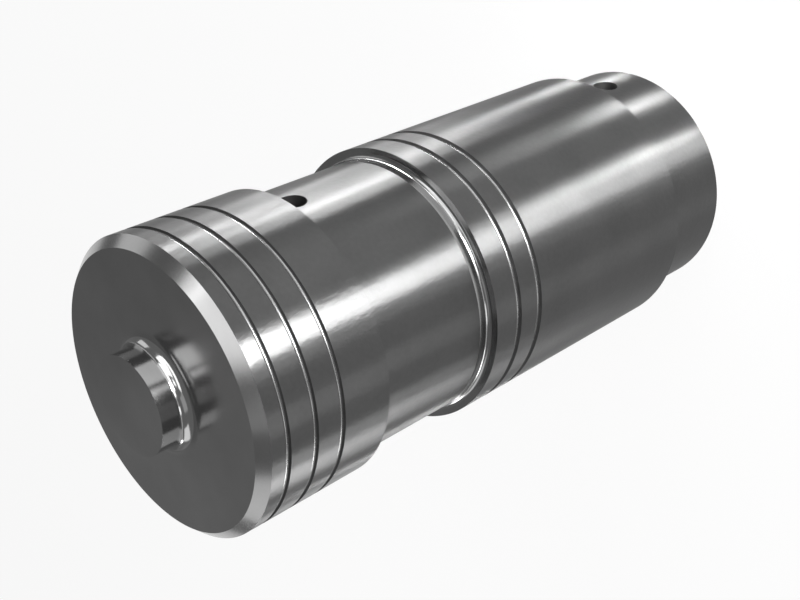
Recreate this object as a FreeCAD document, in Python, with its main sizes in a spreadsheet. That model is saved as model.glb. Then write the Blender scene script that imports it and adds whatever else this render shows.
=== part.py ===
import FreeCAD, Part
import os

import Sketcher
from FreeCAD import Vector

# Selector piston of a hydraulic selector valve: one bar of steel, turned, drilled and ground.
# It stands on its tail. The origin is the centre of the tail's end face and +Z is the axis,
# towards the boss. The oil drillings in its side face +X.
# Millimetres throughout, and degrees where a name ends in angle.

os.makedirs("parts", exist_ok=True)
doc = FreeCAD.newDocument("selector_piston")

driving_sizes = {
    # The steps along the axis, from the tail up to the boss
    "tail_length": 14.3,
    "guide_land_length": 41.5,
    "neck_length": 19.9,
    "front_land_length": 19.95,
    "boss_height": 4.0,
    # Across the axis: both lands run in one bore, and the tail and neck are cut below them
    "land_diameter": 40.0,
    "tail_relief": 2.08,
    "neck_relief": 1.51,
    "boss_diameter": 13.2,
    # Edges and inside corners
    "front_chamfer": 1.35,
    "boss_root_radius": 1.7,
    "relief_corner_radius": 0.75,
    "tail_chamfer": 0.4,
    # Balancing grooves: the inset is from the land's upper end to the first groove's middle
    "front_groove_width": 0.8,
    "front_groove_inset": 3.85,
    "front_groove_pitch": 4.22,
    "guide_groove_width": 1.0,
    "guide_groove_inset": 4.43,
    "guide_groove_pitch": 4.21,
    # Oil drillings: one along the axis from the tail, and one from each relief down to it
    "axial_drilling_diameter": 5.0,
    "axial_drilling_overrun": 2.5,
    "drill_point_angle": 118.0,
    "mouth_chamfer": 0.5,
    "side_drilling_diameter": 3.8,
    "tail_drilling_height": 8.0,
    "neck_drilling_inset": 2.6,
}
front_groove_count = 3
guide_groove_count = 2

sheet = doc.addObject("Spreadsheet::Sheet", "sizes")
for row, (name, value) in enumerate(driving_sizes.items(), start=1):
    sheet.set(f"A{row}", name)
    sheet.set(f"B{row}", str(value))
    sheet.setAlias(f"B{row}", name)
doc.recompute()

body = doc.addObject("PartDesign::Body", "selector_piston")
body.Label = "selector_piston"
body.Placement = FreeCAD.Placement(Vector(0, 0, 0), FreeCAD.Rotation())

# Radii and heights that follow from the driving sizes
land_radius = "sizes.land_diameter / 2"
tail_radius = "sizes.land_diameter / 2 - sizes.tail_relief"
neck_radius = "sizes.land_diameter / 2 - sizes.neck_relief"
boss_radius = "sizes.boss_diameter / 2"
tail_top = "sizes.tail_length"
shoulder = f"{tail_top} + sizes.guide_land_length"
neck_top = f"{shoulder} + sizes.neck_length"
end_face = f"{neck_top} + sizes.front_land_length"
boss_top = f"{end_face} + sizes.boss_height"
neck_drilling = f"{neck_top} - sizes.neck_drilling_inset"

# Edges are looked up by their place, to this distance.
lookup_tolerance = 1e-4


def value_of(formula):
    """The number that a formula over the sheet's sizes gives."""
    return float(body.evalExpression(formula))


def origin_feature(role):
    """The body's own plane or axis with this role."""
    return next(item for item in body.Origin.OriginFeatures if item.Role == role)


def new_sketch(name, plane):
    """An empty sketch on one of the body's origin planes."""
    sketch = body.newObject("Sketcher::SketchObject", name)
    sketch.AttachmentSupport = [(origin_feature(plane), "")]
    sketch.MapMode = "FlatFace"
    return sketch


def bind(sketch, constraint, formula):
    """Add a constraint to the sketch and take its size from a formula over the sheet."""
    number = sketch.addConstraint(constraint)
    sketch.setExpression(f"Constraints[{number}]", formula)


def place_point(sketch, geometry, point, across, up):
    """Hold a point of the sketch at two formulas from the origin, or on an axis for a zero."""
    for kind, zero_axis, formula in (("DistanceX", -2, across), ("DistanceY", -1, up)):
        size = value_of(formula)
        if size == 0:
            sketch.addConstraint(Sketcher.Constraint("PointOnObject", geometry, point, zero_axis))
        else:
            bind(sketch, Sketcher.Constraint(kind, -1, 1, geometry, point, size), formula)


def draw_outline(sketch, corners):
    """A closed outline of straight lines, each corner given as its two formulas."""
    points = [Vector(value_of(across), value_of(up), 0) for across, up in corners]
    for line in range(len(points)):
        next_line = (line + 1) % len(points)
        sketch.addGeometry(Part.LineSegment(points[line], points[next_line]), False)
    for line, (across, up) in enumerate(corners):
        next_line = (line + 1) % len(points)
        sketch.addConstraint(Sketcher.Constraint("Coincident", line, 2, next_line, 1))
        place_point(sketch, line, 1, across, up)


def draw_circle(sketch, across, up, diameter):
    """A circle in the sketch, with its centre and its diameter given as formulas."""
    centre = Vector(value_of(across), value_of(up), 0)
    radius = value_of(diameter) / 2
    circle = sketch.addGeometry(Part.Circle(centre, Vector(0, 0, 1), radius), False)
    place_point(sketch, circle, 3, across, up)
    bind(sketch, Sketcher.Constraint("Diameter", circle, 2 * radius), diameter)


def turn(kind, name, sketch):
    """A feature that turns the sketch all the way round the piston's axis."""
    feature = body.newObject(kind, name)
    feature.Profile = sketch
    feature.ReferenceAxis = (sketch, ["V_Axis"])
    feature.Angle = 360.0
    doc.recompute()
    return feature


def ring_edges(shape, radius, height):
    """Names of the shape's round edges about the axis that have this radius and height."""
    found = []
    for number, edge in enumerate(shape.Edges, start=1):
        if not isinstance(edge.Curve, Part.Circle):
            continue
        off_centre = (edge.Curve.Center - Vector(0, 0, height)).Length
        if abs(edge.Curve.Radius - radius) + off_centre < lookup_tolerance:
            found.append(f"Edge{number}")
    return found


def dress_edges(kind, name, size_property, size_name, rings):
    """A fillet or chamfer of one size on each ring, given as its radius and height."""
    base = body.Tip
    feature = body.newObject(kind, name)
    edges = []
    for radius, height in rings:
        found = ring_edges(base.Shape, value_of(radius), value_of(height))
        if not found:
            raise RuntimeError(f"{name}: no edge at radius {radius}, height {height}")
        edges.extend(found)
    feature.Base = (base, edges)
    feature.setExpression(size_property, f"sizes.{size_name}")
    doc.recompute()


def check_cut(feature, base):
    """A cut that points away from the bar removes nothing, so the volumes are compared."""
    if feature.Shape.Volume >= base.Shape.Volume:
        raise RuntimeError(f"{feature.Name} removes nothing")


# The turned bar: half of its outline from the tail up to the boss, turned about the axis.
bar_sketch = new_sketch("bar_outline", "XZ_Plane")
draw_outline(bar_sketch, [
    ("0", "0"),
    (tail_radius, "0"),
    (tail_radius, tail_top),
    (land_radius, tail_top),
    (land_radius, shoulder),
    (neck_radius, shoulder),
    (neck_radius, neck_top),
    (land_radius, neck_top),
    (land_radius, end_face),
    (boss_radius, end_face),
    (boss_radius, boss_top),
    ("0", boss_top),
])
turn("PartDesign::Revolution", "bar", bar_sketch)

# The front land leads into its bore by a chamfer, and the tail's end edge has a small one.
# The other edges stay sharp, as the lands of such pistons need.
dress_edges(
    "PartDesign::Chamfer", "front_chamfer", "Size", "front_chamfer",
    [(land_radius, end_face)],
)
dress_edges(
    "PartDesign::Chamfer", "tail_chamfer", "Size", "tail_chamfer",
    [(tail_radius, "0")],
)

# The boss runs out into the end face, and the tail and the neck into the guide land.
dress_edges(
    "PartDesign::Fillet", "boss_root", "Radius", "boss_root_radius",
    [(boss_radius, end_face)],
)
dress_edges(
    "PartDesign::Fillet", "relief_corners", "Radius", "relief_corner_radius",
    [(tail_radius, tail_top), (neck_radius, shoulder)],
)


def balancing_grooves(land, top, count):
    """Like grooves round a land, half as deep as they are wide, from its upper end down."""
    base = body.Tip
    middle = f"{top} - sizes.{land}_groove_inset"
    width = f"sizes.{land}_groove_width"
    floor_radius = f"{land_radius} - {width} / 2"
    outside = f"{land_radius} + {width} / 2"
    section = new_sketch(f"{land}_groove_section", "XZ_Plane")
    draw_outline(section, [
        (outside, f"{middle} - {width} / 2"),
        (land_radius, f"{middle} - {width} / 2"),
        (floor_radius, f"{middle} - {width} / 4"),
        (floor_radius, f"{middle} + {width} / 4"),
        (land_radius, f"{middle} + {width} / 2"),
        (outside, f"{middle} + {width} / 2"),
    ])
    groove = turn("PartDesign::Groove", f"{land}_groove", section)
    check_cut(groove, base)
    row = body.newObject("PartDesign::LinearPattern", f"{land}_grooves")
    row.Originals = [groove]
    row.Direction = (origin_feature("Z_Axis"), [""])
    row.Reversed = True
    row.Mode = "Spacing"
    row.Occurrences = count
    row.setExpression("Offset", f"sizes.{land}_groove_pitch")
    body.Tip = row
    doc.recompute()
    check_cut(row, groove)


balancing_grooves("front", end_face, front_groove_count)
balancing_grooves("guide", shoulder, guide_groove_count)

# The axial drilling: from the tail, past the neck's drilling, with the drill's own point.
base = body.Tip
mouth_sketch = new_sketch("axial_drilling_place", "XY_Plane")
draw_circle(mouth_sketch, "0", "0", "sizes.axial_drilling_diameter")
axial_drilling = body.newObject("PartDesign::Hole", "axial_drilling")
axial_drilling.Profile = mouth_sketch
doc.recompute()
axial_drilling.Reversed = True
axial_drilling.DepthType = "Dimension"
axial_drilling.DrillPoint = "Angled"
axial_drilling.setExpression("Diameter", "sizes.axial_drilling_diameter")
axial_drilling.setExpression("Depth", f"{neck_drilling} + sizes.axial_drilling_overrun")
axial_drilling.setExpression("DrillPointAngle", "sizes.drill_point_angle")
doc.recompute()
check_cut(axial_drilling, base)
dress_edges(
    "PartDesign::Chamfer", "drilling_mouth", "Size", "mouth_chamfer",
    [("sizes.axial_drilling_diameter / 2", "0")],
)

# The side drillings: from the axial drilling out through the neck and the tail, towards +X.
base = body.Tip
side_sketch = new_sketch("side_drilling_places", "YZ_Plane")
for place in ("sizes.tail_drilling_height", neck_drilling):
    draw_circle(side_sketch, "0", place, "sizes.side_drilling_diameter")
side_drillings = body.newObject("PartDesign::Pocket", "side_drillings")
side_drillings.Profile = side_sketch
side_drillings.Type = "ThroughAll"
side_drillings.Reversed = True
doc.recompute()
check_cut(side_drillings, base)

doc.recompute()
for item in doc.Objects:
    if "Invalid" in item.State or "Error" in item.State:
        raise RuntimeError(f"{item.Name} failed: {item.State}")
if body.Shape.isNull() or not body.Shape.isValid():
    raise RuntimeError("the piston's shape is not valid")
if len(body.Shape.Solids) != 1:
    raise RuntimeError("the piston is not one solid")
body.Shape.exportStep(f"parts/{body.Label}.step")
print(f"{body.Label}: {body.Shape.Volume:.1f} mm3, top at {body.Shape.BoundBox.ZMax:.2f} mm")
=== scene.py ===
import bpy
import math
from mathutils import Matrix, Vector


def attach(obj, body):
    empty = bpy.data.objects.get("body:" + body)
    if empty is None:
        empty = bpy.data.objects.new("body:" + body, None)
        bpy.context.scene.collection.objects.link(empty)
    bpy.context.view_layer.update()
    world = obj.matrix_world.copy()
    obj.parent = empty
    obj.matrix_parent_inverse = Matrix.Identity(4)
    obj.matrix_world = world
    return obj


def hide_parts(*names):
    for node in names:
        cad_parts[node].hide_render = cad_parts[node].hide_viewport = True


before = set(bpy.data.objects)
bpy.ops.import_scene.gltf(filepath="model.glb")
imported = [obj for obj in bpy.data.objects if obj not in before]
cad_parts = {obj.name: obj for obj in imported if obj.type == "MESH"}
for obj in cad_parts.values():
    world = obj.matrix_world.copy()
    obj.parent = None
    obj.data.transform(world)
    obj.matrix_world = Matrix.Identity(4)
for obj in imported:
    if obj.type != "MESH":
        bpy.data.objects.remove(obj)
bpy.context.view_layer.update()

# The axial drilling and the tail's end face.
# The piston is one bar of alloy steel, turned between centres and ground. The blind drilling
# comes up from the tail with the drill's own point, and its mouth has a small chamfer.
mm = 0.001
turned_segments = 288
axial_drilling_radius = 2.5 * mm
axial_drilling_depth = 75.6 * mm
drill_point_half_angle = math.radians(59)
mouth_chamfer = 0.5 * mm
tail_radius = 17.92 * mm
tail_chamfer = 0.4 * mm

drill_point_length = axial_drilling_radius / math.tan(drill_point_half_angle)
bpy.ops.object.select_all(action="DESELECT")
bpy.ops.mesh.primitive_cone_add(
    vertices=turned_segments,
    radius1=axial_drilling_radius,
    radius2=0,
    depth=drill_point_length,
    end_fill_type="NOTHING",
    location=(0, 0, axial_drilling_depth + drill_point_length / 2),
)
piston = bpy.context.object
piston.name = "turned_piston"
bpy.ops.object.transform_apply(location=True)
bpy.ops.object.mode_set(mode="EDIT")
bpy.ops.mesh.select_mode(type="EDGE")
bpy.ops.mesh.select_all(action="DESELECT")
bpy.ops.mesh.select_non_manifold()
# The radius and the height that the open edge of the turned surface has reached
edge_at = Vector((axial_drilling_radius, axial_drilling_depth))


def turn_to(radius, height):
    """Carry the open edge of the turned surface on to this radius and height."""
    bpy.ops.mesh.extrude_region_move(
        TRANSFORM_OT_translate={"value": (0, 0, height - edge_at.y)}
    )
    if radius != edge_at.x:
        growth = radius / edge_at.x
        bpy.ops.transform.resize(
            value=(growth, growth, 1), center_override=(0, 0, height)
        )
    edge_at.xy = radius, height


def turn_round(centre_radius, centre_height, radius, start, end, steps):
    """Carry the open edge along an arc, its angles in degrees from straight outwards."""
    for step in range(steps + 1):
        angle = math.radians(start + (end - start) * step / steps)
        turn_to(
            centre_radius + radius * math.cos(angle),
            centre_height + radius * math.sin(angle),
        )


turn_to(axial_drilling_radius, mouth_chamfer)
turn_to(axial_drilling_radius + mouth_chamfer, 0)
turn_to(tail_radius - tail_chamfer, 0)
turn_to(tail_radius, tail_chamfer)

# The tail.
# A spigot turned below the size of the lands, so that oil can pass round it. It runs into
# the guide land by the round corner that the turning tool leaves.
tail_length = 14.3 * mm
relief_corner = 0.75 * mm
corner_steps = 8
side_drilling_radius = 1.9 * mm
tail_drilling_height = 8.0 * mm
# The grinding wheel stops this far short of an inside corner.
unground = 1.7 * mm


def turn_past_drilling(radius, height):
    """Closer rings where a side drilling comes out, so that its mouth stays true."""
    reach = 2.3 * mm
    rings = 12
    for ring in range(rings + 1):
        turn_to(radius, height - reach + 2 * reach * ring / rings)


turn_past_drilling(tail_radius, tail_drilling_height)
turn_to(tail_radius, tail_length - unground)
turn_round(
    tail_radius + relief_corner, tail_length - relief_corner, relief_corner,
    180, 90, corner_steps,
)

# The guide land.
# The long land, ground to run in the valve's bore, with its edges left sharp. Two balancing
# grooves, cut with a form tool near its upper end, keep the oil film even all round.
land_radius = 20.0 * mm
shoulder_height = 55.8 * mm
guide_groove_width = 1.0 * mm
guide_groove_heights = [47.16 * mm, 51.37 * mm]


def turn_groove(height, width):
    """A groove in a land, half as deep as it is wide, with steep sides and a round floor."""
    wall_lean = 25
    floor_steps = 12
    lean = math.radians(wall_lean)
    depth = width / 2
    floor_round = depth * (math.cos(lean) - math.sin(lean)) / (1 - math.sin(lean))
    centre = land_radius - depth + floor_round
    floor_reach = 90 - wall_lean
    turn_to(land_radius, height - depth)
    turn_round(
        centre, height, floor_round, 180 + floor_reach, 180 - floor_reach, floor_steps
    )
    turn_to(land_radius, height + depth)


turn_to(land_radius, tail_length)
for height in guide_groove_heights:
    turn_groove(height, guide_groove_width)
turn_to(land_radius, shoulder_height)

# The neck.
# Turned below the lands so that oil can flow round it between the ports. It has a round
# corner at the guide land's shoulder, and a square one behind the front land.
neck_radius = 18.49 * mm
neck_top = 75.7 * mm
neck_drilling_height = 73.1 * mm

turn_round(
    neck_radius + relief_corner, shoulder_height + relief_corner, relief_corner,
    270, 180, corner_steps,
)
turn_to(neck_radius, shoulder_height + unground)
turn_past_drilling(neck_radius, neck_drilling_height)
turn_to(neck_radius, neck_top)

# The front land.
# Ground like the guide land, with three narrower balancing grooves. Its chamfer leads it
# into the bore, and the end face inside the chamfer is faced off in the lathe.
end_face_height = 95.65 * mm
front_chamfer = 1.35 * mm
front_groove_width = 0.8 * mm
front_groove_heights = [83.36 * mm, 87.58 * mm, 91.8 * mm]

turn_to(land_radius, neck_top)
for height in front_groove_heights:
    turn_groove(height, front_groove_width)
turn_to(land_radius, end_face_height - front_chamfer)
turn_to(land_radius - front_chamfer, end_face_height)

# The boss.
# The stop that meets the end cap, turned on the end face of the same bar. It has a full
# round at its root and a flat top, which closes the turned surface.
boss_radius = 6.6 * mm
boss_height = 4.0 * mm
boss_root = 1.7 * mm
boss_root_steps = 16
boss_top = end_face_height + boss_height
weld_distance = 1e-7

turn_round(
    boss_radius + boss_root, end_face_height + boss_root, boss_root,
    270, 180, boss_root_steps,
)
turn_to(boss_radius, boss_top)
bpy.ops.mesh.edge_face_add()
bpy.ops.mesh.select_all(action="SELECT")
bpy.ops.mesh.remove_doubles(threshold=weld_distance)
bpy.ops.mesh.normals_make_consistent(inside=False)
bpy.ops.object.mode_set(mode="OBJECT")

# The side drillings.
# Two holes drilled square to the axis, from the tail and from the neck down to the axial
# drilling. They let oil through the piston, and their mouths are left as drilled.
drill_reach = 25 * mm
drilled_segments = 96
for height in (tail_drilling_height, neck_drilling_height):
    bpy.ops.object.select_all(action="DESELECT")
    bpy.ops.mesh.primitive_cylinder_add(
        vertices=drilled_segments,
        radius=side_drilling_radius,
        depth=drill_reach,
        location=(drill_reach / 2, 0, height),
        rotation=(0, math.pi / 2, 0),
    )
    drill = bpy.context.object
    cut = piston.modifiers.new("side_drilling", "BOOLEAN")
    cut.operation = "DIFFERENCE"
    cut.solver = "EXACT"
    cut.object = drill
    bpy.context.view_layer.objects.active = piston
    bpy.ops.object.modifier_apply(modifier=cut.name)
    bpy.data.objects.remove(drill)

# The finished bar.
# Its round faces are smooth and its edges crisp, as the lathe and the wheel leave them. It
# is one piece with no joints, so it rides on the root and stands for the CAD's only node.
smooth_below = math.radians(35)
bpy.ops.object.select_all(action="DESELECT")
piston.select_set(True)
bpy.ops.object.shade_smooth_by_angle(angle=smooth_below)


def resize_piston(growth):
    """Resize the piston's mesh about the origin."""
    bpy.ops.transform.resize(value=(growth, growth, growth), center_override=(0, 0, 0))
    bpy.ops.object.transform_apply(location=False, rotation=False, scale=True)


# The modifier leaves out faces as small as these, so the piston is grown a thousandfold
# for it and shrunk back.
resize_piston(1 / mm)
flat_weight = piston.modifiers.new("flat_weight", "WEIGHTED_NORMAL")
flat_weight.mode = "FACE_AREA"
flat_weight.keep_sharp = True
bpy.ops.object.modifier_apply(modifier=flat_weight.name)
resize_piston(mm)

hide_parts("selector_piston")
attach(piston, "root")


# The ground finish.
# Ground steel on the lands, the neck and the tail, dark and bright by turns. Fine marks run
# round it, so a lamp's reflection is drawn out along the axis and stays narrow across it.
class Wire:
    """A socket of a material. Arithmetic on it adds Math nodes, and node() adds any other."""

    def __init__(self, tree, socket=None):
        self.tree = tree
        self.socket = socket

    def node(self, kind, settings, inputs, output=0):
        """A new node: its settings first, then a value or a link for each socket given."""
        made = self.tree.nodes.new(kind)
        for name, value in settings.items():
            setattr(made, name, value)
        for name, value in inputs.items():
            if isinstance(value, Wire):
                self.tree.links.new(value.socket, made.inputs[name])
            else:
                made.inputs[name].default_value = value
        return Wire(self.tree, None if output is None else made.outputs[output])

    def maths(self, operation, other):
        """A Math node with this wire and another wire or a number."""
        return self.node("ShaderNodeMath", {"operation": operation}, {0: self, 1: other})

    def __add__(self, other):
        return self.maths("ADD", other)

    def __mul__(self, other):
        return self.maths("MULTIPLY", other)

    __radd__ = __add__
    __rmul__ = __mul__


def start_material(name):
    """An empty node material, and a wire to add its nodes with."""
    material = bpy.data.materials.new(name)
    material.use_nodes = True
    material.node_tree.nodes.clear()
    return material, Wire(material.node_tree)


def noise(place, scale, detail):
    """Noise from 0 to 1 at this place, with its scale in patches to the metre."""
    return place.node(
        "ShaderNodeTexNoise", {}, {"Vector": place, "Scale": scale, "Detail": detail}
    )


def grey(level):
    """A grey colour with this level in all its channels."""
    return level.node(
        "ShaderNodeCombineColor", {}, {"Red": level, "Green": level, "Blue": level}
    )


def finish_material(shader):
    """Send the shader to the material's output."""
    shader.node("ShaderNodeOutputMaterial", {}, {"Surface": shader}, output=None)


# Far darker than bare steel: painted shade, which stands for dark surroundings mirrored in
# the ground steel, since all it mirrors here is the white floor and the pale walls.
steel_colour_painted_dark = 0.101
mark_height = 0.03 * mm
# The marks are long round the piston and a quarter of a millimetre wide along its axis.
mark_scale = (20, 20, 4000)

ground_steel, wires = start_material("ground_steel")
place = wires.node("ShaderNodeTexCoord", {}, {}, "Object")
rings = wires.node("ShaderNodeMapping", {}, {"Vector": place, "Scale": mark_scale})
ring_marks = noise(rings, scale=1.0, detail=3.0)
patches = noise(place, scale=120.0, detail=4.0)
speckle = noise(place, scale=1500.0, detail=3.0)
worn = noise(place, scale=45.0, detail=2.0)
bump = wires.node(
    "ShaderNodeBump",
    {},
    {
        "Strength": 1.0,
        "Distance": mark_height,
        "Height": 0.015 * ring_marks + speckle * worn,
    },
)
steel = wires.node(
    "ShaderNodeBsdfPrincipled",
    {},
    {
        "Base Color": grey(steel_colour_painted_dark * (0.76 + 0.32 * patches + 0.16 * speckle)),
        "Metallic": 1.0,
        "Roughness": 0.27 + 0.05 * ring_marks + 0.03 * patches,
        "Specular Tint": (0.75, 0.75, 0.75, 1),
        "Anisotropic": 1.0,
        "Anisotropic Rotation": 0.25,
        "Normal": bump,
    },
)
finish_material(steel)


# The other finishes.
# The same steel where the wheel doesn't reach it: faced, turned, polished, cut with a form
# tool or drilled. They differ in how rough the tool leaves the steel. Their colours, all
# darker than bare steel, are set face by face to how bright each face should look:
# painted light and shade.
def plain_steel(name, patch_scale, colour, colour_spread, roughness, roughness_spread):
    """A steel finish that goes from its least colour and roughness up by these spreads."""
    material, wires = start_material(name)
    place = wires.node("ShaderNodeTexCoord", {}, {}, "Object")
    patches = noise(place, scale=patch_scale, detail=4.0)
    steel = wires.node(
        "ShaderNodeBsdfPrincipled",
        {},
        {
            "Base Color": grey(colour + colour_spread * patches),
            "Metallic": 1.0,
            "Roughness": roughness + roughness_spread * patches,
        },
    )
    finish_material(steel)
    return material


# The end face, its chamfer and the boss's top
faced_steel = plain_steel(
    "faced_steel", patch_scale=120.0,
    colour=0.24, colour_spread=0.12, roughness=0.17, roughness_spread=0.06,
)
# The shoulders, the tail's end face and the strips that the wheel doesn't reach
turned_steel = plain_steel(
    "turned_steel", patch_scale=300.0,
    colour=0.26, colour_spread=0.1, roughness=0.12, roughness_spread=0.08,
)
# The boss's side and its root
polished_steel = plain_steel(
    "polished_steel", patch_scale=300.0,
    colour=0.4, colour_spread=0.06, roughness=0.11, roughness_spread=0.05,
)
# The floors of the grooves
formed_steel = plain_steel(
    "formed_steel", patch_scale=300.0,
    colour=0.16, colour_spread=0.08, roughness=0.22, roughness_spread=0.1,
)
# The drillings and the walls of the grooves, darkest of all: painted shade in these recesses
recess_steel_painted_shade = plain_steel(
    "recess_steel_painted_shade", patch_scale=400.0,
    colour=0.05, colour_spread=0.04, roughness=0.45, roughness_spread=0.2,
)

grooves = [(height, guide_groove_width) for height in guide_groove_heights]
grooves += [(height, front_groove_width) for height in front_groove_heights]
# The way a face looks is told by how much of its normal lies along an axis.
least_for_top = 0.9
least_for_shoulder = 0.3
most_for_groove_floor = 0.62
most_for_drilling_wall = 0.3


def finish_at(face):
    """The finish that this face of the piston has, by its place and by the way it faces."""
    height = face.center.z
    across = face.center.xy.length
    to_drilling = min(
        abs(height - tail_drilling_height), abs(height - neck_drilling_height)
    )
    in_axial_drilling = across < axial_drilling_radius + mouth_chamfer
    in_side_drilling = (
        max(to_drilling, abs(face.center.y)) < side_drilling_radius
        and face.center.x > 0
        and abs(face.normal.x) < most_for_drilling_wall
    )
    in_groove = any(abs(height - middle) < width / 2 for middle, width in grooves)
    in_corner = (
        tail_length - unground < height < tail_length
        or shoulder_height < height < shoulder_height + unground
    )
    is_top = face.normal.z > least_for_top
    is_groove_floor = abs(face.normal.z) < most_for_groove_floor
    is_shoulder = abs(face.normal.z) > least_for_shoulder
    if height > end_face_height and not is_top:
        return polished_steel
    if height > end_face_height - front_chamfer:
        return faced_steel
    if in_axial_drilling or in_side_drilling:
        return recess_steel_painted_shade
    if in_groove:
        return formed_steel if is_groove_floor else recess_steel_painted_shade
    if in_corner or is_shoulder:
        return turned_steel
    return ground_steel


finishes = [
    ground_steel, faced_steel, turned_steel, polished_steel, formed_steel, recess_steel_painted_shade,
]
piston.data.materials.clear()
for finish in finishes:
    piston.data.materials.append(finish)
for face in piston.data.polygons:
    face.material_index = finishes.index(finish_at(face))

# The floor.
# A large sheet of matt white paper under the piston. The camera and the reflections in the
# steel see it as nearly plain white, and the piston's shadow falls on it as on paper.
floor_size = 6
white_share = 0.9
bpy.ops.mesh.primitive_plane_add(size=floor_size)
floor = bpy.context.object
floor.name = "floor"

floor_paint, wires = start_material("floor_paint")
paint = wires.node("ShaderNodeBsdfDiffuse", {}, {"Color": (0.8, 0.8, 0.8, 1)})
plain = wires.node("ShaderNodeEmission", {}, {"Color": (1, 1, 1, 1), "Strength": 1})
path = wires.node("ShaderNodeLightPath", {}, {}, "Is Camera Ray")
glossy = Wire(path.tree, path.socket.node.outputs["Is Glossy Ray"])
through = Wire(path.tree, path.socket.node.outputs["Is Transmission Ray"])
# 1 where the floor itself is looked at, and 0 where it only gathers or gives light
seen = path + glossy + through
mixed = wires.node("ShaderNodeMixShader", {}, {0: white_share * seen, 1: paint, 2: plain})
finish_material(mixed)
floor.data.materials.append(floor_paint)

# The studio light.
# Pale walls all round, and softboxes: lamps behind white cloth, hung round the piston. The
# narrow ones near it give the bright bands that run along the ground steel.
wall_strength = 0.22
world = bpy.data.worlds.new("studio")
bpy.context.scene.world = world
world.use_nodes = True
walls = world.node_tree.nodes["Background"].inputs
walls["Color"].default_value = (1, 1, 1, 1)
walls["Strength"].default_value = wall_strength
piston_middle = 0.05
# Half the angle that a lamp spreads over when nothing narrows it
open_spread = 90


def softbox(
    name, azimuth, elevation, distance, width, height, radiance,
    aim_height=piston_middle, half_spread=open_spread,
):
    """A soft lamp aimed at the piston's axis, as bright as the radiance says.

    Its angles are in degrees, and its distance, its size and the aim's height in metres.
    """
    turn = math.radians(azimuth)
    rise = math.radians(elevation)
    level = math.cos(rise)
    offset = Vector((math.cos(turn) * level, math.sin(turn) * level, math.sin(rise)))
    aim = Vector((0, 0, aim_height))
    bpy.ops.object.light_add(type="AREA", location=aim + offset * distance)
    lamp = bpy.context.object
    lamp.name = name
    lamp.rotation_euler = offset.to_track_quat("Z", "Y").to_euler()
    lamp.data.shape = "RECTANGLE"
    lamp.data.size = width
    lamp.data.size_y = height
    lamp.data.energy = radiance * math.pi * width * height
    lamp.visible_camera = False
    # A lamp that spreads less needs less power for the same radiance straight ahead.
    if half_spread < open_spread:
        half = math.radians(half_spread)
        lamp.data.spread = 2 * half
        lamp.data.energy *= (math.tan(half) - half) / math.tan(half)


# On the camera's side, for the chamfer, the boss and the grooves
softbox("key", -28, 58, 0.5, 0.46, 0.11, 2.4)
softbox("key_right", 15, 48, 0.5, 0.09, 0.1, 2.1)
softbox("boss_light", -7, 33, 0.5, 0.4, 0.25, 2.4)
softbox("groove_light", -31, 12, 0.5, 0.6, 0.12, 2.6)
softbox("behind_camera", -48, 29, 0.25, 0.07, 0.06, 4, 0.097, 10)
# Large and dim, for the sides and the back
softbox("left_high", -97, 43, 0.5, 0.26, 0.24, 0.35)
softbox("rear", 147, 27, 0.5, 0.34, 0.2, 0.07)
softbox("rim_high", -165, 25, 0.5, 0.32, 0.22, 1.1)
softbox("side_high", 63, 21, 0.5, 0.24, 0.16, 1)
# The main bright band, with its soft edge
softbox("front", -54.4, 0, 0.27, 0.069, 0.09, 72, 0.066)
softbox("front_edge", -67.5, 0, 0.27, 0.057, 0.1, 3.3, 0.06)
# The second band, on the front land and the neck
softbox("right_front", 36, -18, 0.2, 0.02, 0.05, 46, 0.09, 18)
softbox("neck_right_near", 20, -17, 0.15, 0.021, 0.03, 50, 0.065, 14)
softbox("neck_right", 28.5, -17, 0.15, 0.022, 0.03, 112, 0.065, 14)
softbox("neck_right_far", 48, -17, 0.15, 0.05, 0.03, 36, 0.065, 14)
softbox("neck_far_core", 54, -17, 0.15, 0.016, 0.03, 38, 0.065, 14)
# The bands on the guide land
softbox("low_front", -45, 0, 0.15, 0.021, 0.03, 138, 0.017, 18)
softbox("low_near", -4.5, 0, 0.15, 0.039, 0.03, 32, 0.017, 18)
softbox("low_right", 34, 0, 0.15, 0.016, 0.03, 156, 0.017, 18)
# The bands on the tail
softbox("tail_front", -44, 0, 0.1, 0.007, 0.012, 207, 0.007, 14)
softbox("tail_near", -5, 0, 0.1, 0.0175, 0.012, 350, 0.007, 14)
softbox("tail_right", 33.5, 0, 0.1, 0.0157, 0.012, 340, 0.007, 14)
# The bands near the outline on either side
softbox("left", -150, -18, 0.2, 0.056, 0.05, 20, 0.09, 18)
softbox("left_edge", -136, -18, 0.2, 0.03, 0.05, 8, 0.09, 18)
softbox("dim_left", -103, 0, 0.27, 0.075, 0.1, 2.1, 0.06)
softbox("right_side", 62, -18, 0.2, 0.04, 0.05, 5, 0.09, 18)
softbox("rim_low", -178, -17, 0.2, 0.036, 0.03, 85, 0.056, 9)
softbox("rim", -182, 0, 0.27, 0.04, 0.1, 8, 0.06)

# The camera.
# It stands where the photograph was taken from, which a pinhole camera fitted to the
# piston's outline gives. It is rolled, so that the standing piston lies across the picture.
camera_place = Vector((83.27, -112.06, 166.23)) * mm
camera_aim = Vector((-1.92, -1.48, 55.38)) * mm
camera_roll = math.radians(-115.49)

bpy.context.scene.view_settings.view_transform = "Standard"
bpy.ops.object.camera_add(location=camera_place)
camera = bpy.context.object
look = (camera_aim - camera_place).to_track_quat("-Z", "Y").to_matrix().to_4x4()
roll = Matrix.Rotation(camera_roll, 4, "Z")
camera.matrix_world = Matrix.Translation(camera_place) @ look @ roll
camera.data.lens = 56.69
camera.data.sensor_width = 36
camera.data.clip_start = 0.01
bpy.context.scene.camera = camera
